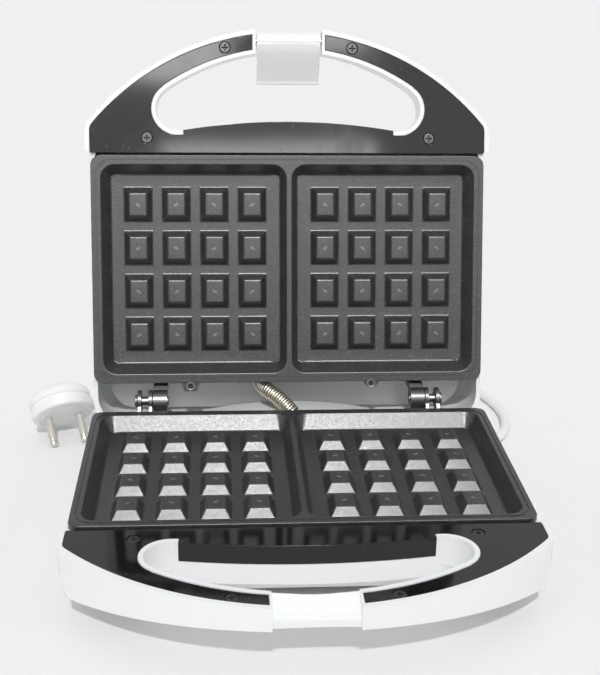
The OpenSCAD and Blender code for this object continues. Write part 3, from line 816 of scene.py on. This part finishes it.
@dataclass
class Studio:
    """Camera, lights, floor and surroundings."""

    eye_m: Point = (-0.04074, -0.57080, 0.32147)
    forward: Point = (0.06740, 0.93314, -0.35313)
    upward: Point = (0.00735, 0.35346, 0.93542)
    lens: float = 63.826
    floor_colour: Point = (0.85, 0.845, 0.838)
    floor_reach_m: float = 6.0
    floor_drop_m: float = 0.00005
    suns: Tuple[Dict[str, object], ...] = (
        dict(name="key_lamp", elevation=49.0, strength=1.5, spread=2.5, side=-0.067),
        dict(
            name="sheen_lamp", elevation=48.0, strength=2.9, spread=10.0, side=0.07,
            sheen_only=True,
        ),
    )
    behind: float = -0.9331
    surround: float = 0.66
    card_aim: Point = (0.0, 0.09, 0.18)
    cards: Tuple[Tuple[str, Point, Tuple[float, float], float], ...] = (
        ("broad_card", (0.0, -2.5, 1.15), (3.0, 1.1), 11.0),
        ("left_card", (-0.28, -2.45, 1.36), (0.55, 0.26), 4.2),
        ("middle_card", (0.1, -2.45, 0.98), (0.6, 0.12), 1.8),
        ("right_card", (0.28, -2.45, 1.40), (0.24, 0.16), 1.0),
    )
    dim_side: Point = (0.66, 0.67, 0.69)
    bright_side: Point = (1.08, 1.09, 1.12)
    dim_from: float = -0.95
    dim_to: float = -0.35

    def camera(self) -> None:
        """Sets the camera where it looks slightly down on the open appliance."""
        data = bpy.data.cameras.new("camera")
        data.lens, data.sensor_width = self.lens, 36.0
        data.clip_start, data.clip_end = 0.02, 30.0
        cam = into_scene("camera", data)
        forward = Vector(self.forward).normalized()
        upward = Vector(self.upward).normalized()
        right = forward.cross(upward).normalized()
        upward = right.cross(forward)
        turn = Matrix((right, upward, -forward)).transposed()
        cam.matrix_world = Matrix.Translation(self.eye_m) @ turn.to_4x4()
        bpy.context.scene.camera = cam

    def card(self, name: str, place: Point, size: Tuple[float, float], watts: float) -> None:
        """Adds one soft card that only shows as a sheen on glossy surfaces.

        Args:
            name: the card's name.
            place: where it stands, in metres.
            size: width and height of the panel in metres.
            watts: its power.
        """
        data = bpy.data.lights.new(name, "AREA")
        data.shape = "RECTANGLE"
        data.size, data.size_y = size
        data.energy = watts
        lamp = into_scene(name, data)
        lamp.location = place
        way = Vector(self.card_aim) - Vector(place)
        lamp.rotation_mode = "QUATERNION"
        lamp.rotation_quaternion = way.to_track_quat("-Z", "Y")
        lamp.visible_camera = False
        lamp.visible_diffuse = False

    def distant(
        self,
        name: str,
        elevation: float,
        strength: float,
        spread: float,
        side: float,
        sheen_only: bool = False,
    ) -> None:
        """Adds a distant lamp above and behind the viewer.

        Args:
            name: the lamp's name.
            elevation: degrees above the floor.
            strength: its strength.
            spread: apparent width in degrees.
            side: how far to the viewer's right it stands, as a share of its distance.
            sheen_only: True for a lamp that only shows on glossy surfaces.
        """
        up = math.radians(elevation)
        flat = Vector((side, self.behind, 0.0)).normalized() * math.cos(up)
        way = -Vector((flat.x, flat.y, math.sin(up)))
        data = bpy.data.lights.new(name, "SUN")
        data.energy = strength
        data.angle = math.radians(spread)
        lamp = into_scene(name, data)
        lamp.rotation_mode = "QUATERNION"
        lamp.rotation_quaternion = way.to_track_quat("-Z", "Y")
        lamp.visible_diffuse = not sheen_only

    def lights(self) -> None:
        """Sets the distant key lamp, its sheen and the cards the glossy pieces mirror."""
        for sun in self.suns:
            self.distant(**sun)
        for name, place, size, watts in self.cards:
            self.card(name, place, size, watts)

    def surroundings(self) -> None:
        """Sets even pale surroundings, dimmer low down towards the viewer."""
        world = bpy.data.worlds.new("surroundings")
        bpy.context.scene.world = world
        world.use_nodes = True
        tree = world.node_tree
        back = tree.nodes["Background"]
        back.inputs["Strength"].default_value = self.surround
        coords = new_node(tree, "TexCoord")
        split = new_node(tree, "SeparateXYZ")
        tree.links.new(coords.outputs["Generated"], split.inputs["Vector"])
        ramp = new_node(tree, "MapRange", From_Min=self.dim_from, From_Max=self.dim_to)
        tree.links.new(split.outputs["Y"], ramp.inputs["Value"])
        colour = blend_colours(tree, ramp.outputs["Result"], self.dim_side, self.bright_side)
        tree.links.new(colour, back.inputs["Color"])

    def floor(self) -> None:
        """Lays the pale floor that the appliance stands on."""
        bm = bmesh.new()
        bmesh.ops.create_grid(bm, x_segments=1, y_segments=1, size=self.floor_reach_m)
        bmesh.ops.translate(bm, verts=bm.verts, vec=(0, 0, -self.floor_drop_m))
        mesh = bpy.data.meshes.new("floor")
        bm.to_mesh(mesh)
        bm.free()
        recipe = Recipe("floor_sheet", self.floor_colour, 0.8)
        recipe.set(Specular_IOR_Level=0.15)
        warm = tuple(c * 0.985 for c in self.floor_colour)
        recipe.tint(recipe.noise(3.0, 2.0), self.floor_colour, warm)
        mesh.materials.append(recipe.material)
        floor = into_scene("floor", mesh)

    def build(self) -> None:
        """Builds the whole studio."""
        self.camera()
        self.lights()
        self.surroundings()
        self.floor()
        bpy.context.scene.view_settings.view_transform = "Standard"
        log.info("studio set")


# ---- cord and plug


@dataclass
class MainsLead:
    """The white mains lead with its sleeve, and the round plug on its end."""

    diameter: float = 5.6
    route: Tuple[Point, ...] = (
        (31, 74, 15), (50, 74, 15), (65, 74, 15), (78, 74, 15), (90, 75, 12.4),
        (102, 77.2, 7), (114, 80.8, 3.6), (127, 88, 3), (137, 101, 3), (141.5, 117, 3),
        (142, 134, 3), (138.5, 151, 3), (132, 168, 3), (125, 186, 3), (119, 206, 3),
        (110, 226, 3), (98, 243, 3), (80, 252, 3), (61, 248, 3), (48, 234, 3),
        (41, 215, 3), (33, 196, 3), (18, 184, 3), (0, 184, 3), (-13, 196, 3),
        (-20, 214, 3), (-30, 231, 3), (-47, 238, 3), (-62, 229, 3), (-66, 210, 3.2),
        (-67, 192, 5), (-69, 176, 9), (-72.5, 161, 13.5), (-78, 147.5, 17.4),
        (-87, 135, 19.5), (-99, 129, 20),
    )
    plug_at: Point = (-136.5, 108.5, 14.1)
    plug_turn: float = 20.0
    plug_dip: float = 43.0
    plug_r: float = 19.0
    pin_reach_m: float = 0.0095
    sleeve_at_m: Point = (0.0432, 0.0740, 0.0150)

    def plug_place(self) -> Matrix:
        """Matrix of the plug, its pins along Z and its lead leaving along X."""
        return (
            Matrix.Translation(Vector(self.plug_at) * MM)
            @ Matrix.Rotation(math.radians(self.plug_turn), 4, "Z")
            @ Matrix.Rotation(math.radians(self.plug_dip + 90), 4, "X")
        )

    def lead(self) -> bpy.types.Object:
        """Lays the lead on one smooth open spline.

        Returns:
            The lead, a curve.
        """
        curve = round_curve("mains_lead", self.diameter / 2 * MM, 5)
        curve.resolution_u = 8
        line = curve.splines.new("BEZIER")
        points = [Vector(p) * MM for p in self.route]
        line.bezier_points.add(len(points) - 1)
        for i, (knot, p) in enumerate(zip(line.bezier_points, points)):
            slope = (points[min(i + 1, len(points) - 1)] - points[max(i - 1, 0)]) / 6
            knot.co = p
            knot.handle_left_type = knot.handle_right_type = "FREE"
            knot.handle_left, knot.handle_right = p - slope, p + slope
        curve.materials.append(CORD_SKIN.material())
        lead = into_scene("mains_lead", curve)
        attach(lead, Body.BASE.value)
        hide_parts("power_cord")
        return lead

    def length_m(self) -> float:
        """Length of the smooth route in metres."""
        line = smooth_line(self.route, 8)
        return sum((b - a).length for a, b in zip(line, line[1:]))

    def plug(self) -> bpy.types.Object:
        """Makes the round plug: dished back, ribbed rim, flat face and a tapered neck."""
        piece = Workpiece("round_plug")
        place = self.plug_place()
        r = self.plug_r
        profile = [
            (0, -17.0), (r - 8.5, -17.0), (r - 6.6, -16.8), (r - 5.2, -16.2),
            (r - 2.2, -14.2), (r - 0.9, -13.0), (r - 0.25, -11.8), (r, -10.6), (r, -8.0),
            (r - 0.6, -7.7), (r - 0.6, -6.9), (r, -6.6), (r, -1.6), (r - 0.25, -0.75),
            (r - 0.9, -0.2), (r - 1.8, 0.0), (r - 3.6, 0.0), (r - 3.9, -0.35),
            (r - 4.5, -0.35), (r - 4.8, 0.0), (0, 0.0),
        ]
        piece.turned(profile, place, 64)
        sideways = Matrix.Rotation(math.pi / 2, 4, "Y")
        neck = place @ Matrix.Translation((0.010, 0, -0.008)) @ sideways
        shape = [(0, 0.0), (7.4, 0.0), (6.9, 6.0), (6.4, 11.0), (5.9, 16.0)]
        for i in range(5):
            z = 17.0 + 3.4 * i
            fat = 5.75 - 0.22 * i
            shape += [(fat, z), (fat, z + 1.9), (fat - 1.0, z + 2.2), (fat - 1.0, z + 3.0)]
        shape += [(4.2, 34.0), (0, 34.0)]
        piece.turned(shape, neck, 40)
        for s in (-1, 1):
            collar = place @ Matrix.Translation((s * self.pin_reach_m, 0, -0.0002))
            piece.turned([(0, -0.6), (3.5, -0.6), (3.5, 0.35), (3.2, 0.6), (0, 0.6)], collar, 32)
        return piece.done(Body.BASE, [PLUG_SKIN], ["plug_body"], smooth=40.0)

    def pins(self) -> bpy.types.Object:
        """Makes the two round pins, sleeved at the root and nickel at the tip."""
        piece = Workpiece("round_pins")
        root = [(0, -5.8), (2.2, -5.8), (2.2, 7.9), (2.4, 8.0), (2.4, 13.6), (2.3, 13.8)]
        root.append((0, 13.8))
        tip = [(0, 13.5), (2.25, 13.5), (2.4, 14.0), (2.4, 17.2), (2.2, 18.0), (1.8, 18.6)]
        tip += [(1.2, 18.9), (0.6, 19.0), (0, 19.0)]
        for s in (-1, 1):
            place = self.plug_place() @ Matrix.Translation((s * self.pin_reach_m, 0, 0))
            piece.turned(root, place, 32)
            piece.paint(piece.turned(tip, place, 32), 1)
        return piece.done(Body.BASE, [PIN_SLEEVE, NICKEL], ["plug_pins"], smooth=45.0)

    def sleeve(self) -> bpy.types.Object:
        """Makes the tapered, ribbed sleeve where the lead leaves the rear housing."""
        piece = Workpiece("lead_sleeve")
        place = along(self.sleeve_at_m, (1, 0, 0))
        shape = [(3.0, 0.0), (6.2, 0.0), (6.4, 0.2), (6.4, 1.6), (6.2, 1.8), (4.9, 1.8)]
        shape += [(4.9, 6.6), (5.7, 6.8), (6.0, 7.2), (6.0, 8.4), (5.7, 8.8)]
        for i in range(6):
            z, fat = 10.0 + 3.7 * i, 5.5 - 0.25 * i
            shape += [(fat - 0.9, z - 0.4), (fat - 0.15, z), (fat, z + 0.3), (fat, z + 1.7),
                      (fat - 0.15, z + 2.0), (fat - 0.9, z + 2.4)]
        shape += [(3.55, 33.0), (3.3, 33.35), (3.0, 33.4), (3.0, 0.0)]
        piece.turned(shape, place, 40)
        return piece.done(Body.BASE, [CORD_SKIN], ["strain_relief"], smooth=40.0)

    def build(self) -> None:
        lead, plug, pins, sleeve = self.lead(), self.plug(), self.pins(), self.sleeve()
        round(self.length_m(), 3)
        log.info("lead laid, %.3f m", self.length_m())


# ---- casing


@dataclass
class Casing:
    """One white half: its shell, the black handle insert and the insert's screws."""

    half: Half
    round_out: float = 0.9
    screw_places: Tuple[Tuple[float, float], ...] = (
        (-81, -75.3), (81, -75.3), (-36.3, -126), (36.3, -126),
    )
    handle_y: float = -80.0
    shortest: float = 0.6
    screw_gap: float = 5.0
    rim_z: float = -1.25
    opening_x: float = 60.0
    opening_y: float = -116.0
    opening_z: float = -3.0
    seat_z: Tuple[float, float] = (-13.0, -1.4)
    seat_y: float = -128.0
    clip_x: float = 21.5
    head_r: float = 2.9
    head_z: float = -1.7
    slot_r: float = 2.0
    slot_z: Tuple[float, float] = (-1.7, -0.12)

    def from_screw(self, p: Vector) -> float:
        """Distance from a point to the nearest screw's axis."""
        return min(math.hypot(p.x - x, p.y - y) for x, y in self.screw_places)

    def handle_edge(self, a: Vector, b: Vector) -> bool:
        """True for the outer edges of the handle that a hand meets."""
        near_screw = min(self.from_screw(a), self.from_screw(b)) <= self.screw_gap
        if near_screw or (a - b).length < self.shortest:
            return False
        top = min(a.z, b.z) > self.rim_z
        inside = (
            max(abs(a.x), abs(b.x)) < self.opening_x
            and max(a.z, b.z) < self.opening_z
            and a.y > self.opening_y
        )
        on_handle = max(a.y, b.y) < self.handle_y
        return on_handle and (top or not inside) and not self.insert_seat(a, b)

    def insert_seat(self, a: Vector, b: Vector) -> bool:
        """True for edges of the seat that the black insert covers."""
        low, high = self.seat_z
        covered = max(a.z, b.z) < high and min(a.z, b.z) > low
        return covered and (a.y > self.seat_y or abs(a.x) > self.clip_x)

    def shell(self) -> bpy.types.Object:
        """Makes the white shell with its handle edges rounded."""
        node = f"{self.half.value}_shell"
        piece = Workpiece.copy_of(node, f"{self.half.value}_casing", keep_flat=0)
        piece.soften(self.round_out, self.handle_edge, self.half.to_drawing(), 50.0, clamp=True)
        return piece.done(Body(self.half.value), [WHITE], [node], smooth=34.0)

    def insert(self) -> bpy.types.Object:
        """Makes the glossy insert; its finish rolls the edges over."""
        node = f"{self.half.value}_handle_insert"
        piece = Workpiece.copy_of(node, f"{self.half.value}_insert", keep_flat=0)
        return piece.done(Body(self.half.value), [BLACK], [node], smooth=30.0)

    def screws(self) -> bpy.types.Object:
        """Makes the insert's cross-head screws with crowned heads; the slot floors are painted
        near-black as painted shade.
        """
        node = f"{self.half.value}_insert_screws"

        def rule(a: Vector, b: Vector) -> bool:
            """Rim of each screw head."""
            outside = min(self.from_screw(a), self.from_screw(b)) > self.head_r
            return outside and min(a.z, b.z) > self.head_z

        piece = Workpiece.copy_of(node, f"{self.half.value}_insert_screw_set")
        to = self.half.to_drawing()
        piece.soften(0.5, rule, to, 50.0)
        top = max((to @ v.co).z for v in piece.bm.verts)
        low, high = self.slot_z
        # Slot floors take the near-black finish: painted shade in the cross recesses.
        for f in piece.bm.faces:
            p = to @ f.calc_center_median()
            if self.from_screw(p) < self.slot_r and low < p.z - top < high:
                f.material_index = 1
        return piece.done(
            Body(self.half.value), [SCREW_STEEL, SLOT_SHADE], [node], smooth=36.0
        )

    def build(self) -> None:
        """Builds the half."""
        self.shell()
        self.insert()
        self.screws()


@dataclass
class WafflePlate:
    """One cast baking plate with softened blocks and rims."""

    half: Half
    node: str
    block_round: float = 0.8
    rim_round: float = 0.5
    mark_reach: float = 2.15
    mark_top: float = -3.32
    mark_floor: float = -5.40
    lug_places: Tuple[Tuple[float, float], ...] = ((-57.5, 67.50), (48.0, 66.70))
    shortest: float = 3.5
    block_z: Tuple[float, float] = (-8.6, -2.6)
    block_x: float = 108.0
    top_z: float = -0.1
    cells: Tuple[float, float] = (108.3, 60.8)
    outline: Tuple[float, float] = (112.0, 64.4)

    def paint_pit_highlights(
        self, piece: Workpiece, to: Matrix, centres: List[Tuple[float, float]]
    ) -> None:
        """Paints the leaf-shaped pits on the blocks in a brighter coating, a painted highlight.

        Args:
            piece: the plate on the bench.
            to: matrix to the drawing.
            centres: middles of the blocks in the drawing.
        """
        for f in piece.bm.faces:
            p = to @ f.calc_center_median()
            if not self.mark_floor < p.z < self.mark_top:
                continue
            if min(math.hypot(p.x - x, p.y - y) for x, y in centres) < self.mark_reach:
                f.material_index = 1

    def add_sockets(self, piece: Workpiece, to: Matrix) -> None:
        """Adds a ringed socket on each rear lug, its floor painted near-black as painted shade.

        Args:
            piece: the plate on the bench.
            to: matrix to the drawing.
        """
        back = to.inverted()
        outward = (back.to_3x3() @ Vector((0, 0, 1))).normalized()
        ring = [(0.0, -0.6), (2.5, -0.6), (2.5, 0.35), (2.3, 0.55), (1.8, 0.55), (1.6, 0.4),
                (1.6, -0.2), (0.0, -0.2)]
        for x, y in self.lug_places:
            place = along(tuple(back @ Vector((x, y, -0.4))), tuple(outward))
            piece.paint(piece.turned(ring, place, 32), 1)
            # Socket floor in the near-black finish: painted shade in the hole.
            piece.paint(piece.turned([(0, -0.3), (1.7, -0.3), (1.7, 0), (0, 0)], place, 32), 2)

    def build(self) -> None:
        """Builds the plate."""
        to = self.half.to_drawing()

        def blocks(a: Vector, b: Vector) -> bool:
            """Long edges of the raised blocks and of the cell floors."""
            low, high = self.block_z
            level = min(a.z, b.z) > low and max(a.z, b.z) < high
            return level and (a - b).length > self.shortest and abs(a.x) < self.block_x

        def rims(a: Vector, b: Vector) -> bool:
            """Upper edges of the cells and the outline of the plate."""
            (in_x, in_y), (out_x, out_y) = self.cells, self.outline
            cell = all(abs(p.x) < in_x and abs(p.y) < in_y for p in (a, b))
            outline = all(abs(p.x) > out_x or abs(p.y) > out_y for p in (a, b))
            return min(a.z, b.z) > self.top_z and (cell or outline)

        piece = Workpiece.copy_of(self.node, f"{self.node}_casting", keep_flat=0)
        piece.soften(self.block_round, blocks, to, 25.0, clamp=True)
        piece.soften(self.rim_round, rims, to, 25.0, clamp=True)
        centres = [
            (side * CELL_X + (i - 1.5) * PITCH_X, (j - 1.5) * PITCH_Y)
            for side in (-1, 1)
            for i in range(4)
            for j in range(4)
        ]
        self.paint_pit_highlights(piece, to, centres)
        if self.half is Half.LID:
            self.add_sockets(piece, to)
        piece.done(Body(self.half.value), [COATING, PIT_HIGHLIGHT_AND_LUG_RING, SLOT_SHADE], [self.node], smooth=38.0)


# ---- hinge, latch, conduit


@dataclass
class Hinge:
    """Forks, knuckled leaves and pins on both sides."""

    fork_round: float = 0.3
    pin_round: float = 0.5

    def build(self) -> None:
        """Builds both hinges."""
        fork, pin = (self.fork_round, 40.0, 2), (self.pin_round, 50.0, 3)
        kinds = (
            ("hinge_bracket", "hinge_fork", Body.BASE, PAINT, fork),
            ("hinge_pin", "hinge_rivet", Body.BASE, RIVET, pin),
            ("lid_hinge", "hinge_leaf", Body.LID, PAINT, fork),
        )
        for side in ("left", "right"):
            for node, name, body, finish, (width, angle, segments) in kinds:
                piece = Workpiece.copy_of(f"{node}_{side}", f"{name}_{side}")
                piece.soften(width, angle=angle, segments=segments, clamp=True)
                piece.done(body, [finish], [f"{node}_{side}"])


@dataclass
class Latch:
    """The white clip that hangs in the lid handle."""

    round_edges: float = 0.7
    shortest: float = 0.75

    def build(self) -> None:
        """Builds the clip."""

        def rule(a: Vector, b: Vector) -> bool:
            """Edges long enough to carry a round."""
            return (a - b).length > self.shortest

        piece = Workpiece.copy_of("latch_clip", "latch_hook")
        piece.soften(self.round_edges, rule, None, 40.0)
        piece.done(Body.LATCH, [WHITE], ["latch_clip"], smooth=36.0)


@dataclass
class Conduit:
    """The steel spiral that guards the wires between the two halves."""

    route: Tuple[Point, ...] = (
        (3, 68, 26), (2.2, 68.5, 31), (-1, 70, 35.5), (-6.6, 73.5, 40), (-12, 78, 42.6),
        (-16, 84, 43.8), (-19, 89.5, 48), (-20.5, 91.5, 53),
    )
    radius: float = 4.7
    wire: float = 0.70
    pitch: float = 1.42
    per_turn: int = 14

    def line(self) -> List[Vector]:
        """Even points along the smooth route, in metres, per_turn to each turn of the wire."""
        fine = smooth_line(self.route, 40)
        reach = [0.0]
        for a, b in zip(fine, fine[1:]):
            reach.append(reach[-1] + (b - a).length)
        steps = int(reach[-1] / (self.pitch * MM)) * self.per_turn
        even, j = [], 0
        for i in range(steps + 1):
            want = reach[-1] * i / steps
            while j < len(reach) - 2 and reach[j + 1] < want:
                j += 1
            part = (want - reach[j]) / max(reach[j + 1] - reach[j], 1e-9)
            even.append(fine[j].lerp(fine[j + 1], part))
        return even

    def build(self) -> None:
        """Winds the wire on its curved route between the halves."""
        centre = self.line()
        curve = round_curve("conduit_wire", self.wire * MM, 2)
        line = curve.splines.new("POLY")
        line.points.add(len(centre) - 1)
        side = Vector((1.0, 0.2, 0.2)).normalized()
        for i, p in enumerate(centre):
            way = (centre[min(i + 1, len(centre) - 1)] - centre[max(i - 1, 0)]).normalized()
            side = (side - way * side.dot(way)).normalized()
            up = way.cross(side)
            a = math.tau * i / self.per_turn
            r = (self.radius - self.wire) * MM
            line.points[i].co = (*(p + r * (math.cos(a) * side + math.sin(a) * up)), 1.0)
        maker = into_scene("conduit_wire", curve)
        wound = bpy.data.meshes.new_from_object(
            maker.evaluated_get(bpy.context.evaluated_depsgraph_get())
        )
        bpy.data.objects.remove(maker)
        piece = Workpiece("wire_conduit")
        piece.bm.from_mesh(wound)
        spiral = piece.done(None, [SPIRAL], ["conduit_spring"], smooth=60.0, weighted=False)
        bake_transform(spiral)


@dataclass
class InnerWorks:
    """Pieces whose frame nodes keep their shape and only take a finish."""

    finishes: Tuple[Tuple[Finish, Tuple[str, ...]], ...] = (
        (SCREW_STEEL, ("lower_plate_screws", "upper_plate_screws", "bracket_screws")),
        (SCREW_STEEL, ("lid_hinge_screws", "foot_screws")),
        (SHEATH, ("lower_heating_element", "upper_heating_element")),
        (SHEET, ("lower_heat_tray", "upper_heat_tray", "thermostat", "thermal_fuse")),
        (FOOT, ("rubber_feet",)),
        (TERMINAL, ("terminal_block", "cord_clamp")),
        (SLEEVE, ("base_wires", "lid_wires")),
        (RED_LENS, ("power_lens",)),
        (GREEN_LENS, ("ready_lens",)),
        (BOARD, ("lamp_board",)),
        (PLATED, ("latch_pin",)),
    )

    def build(self) -> None:
        """Dresses every piece."""
        for finish, nodes in self.finishes:
            for node in nodes:
                dress(node, finish)


def clear_scene() -> None:
    """Empties the scene before the frame comes in."""
    for o in list(bpy.data.objects):
        bpy.data.objects.remove(o)


def main() -> None:
    """Builds the studio, the lead and every sub-assembly in order."""
    logging.basicConfig(level=logging.INFO, format="%(name)s: %(message)s")
    clear_scene()
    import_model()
    Studio().build()
    MainsLead().build()
    for half in Half:
        Casing(half).build()
    WafflePlate(Half.BASE, "lower_plate").build()
    WafflePlate(Half.LID, "upper_plate").build()
    Hinge().build()
    Latch().build()
    Conduit().build()
    InnerWorks().build()


if __name__ == "__main__":
    main()
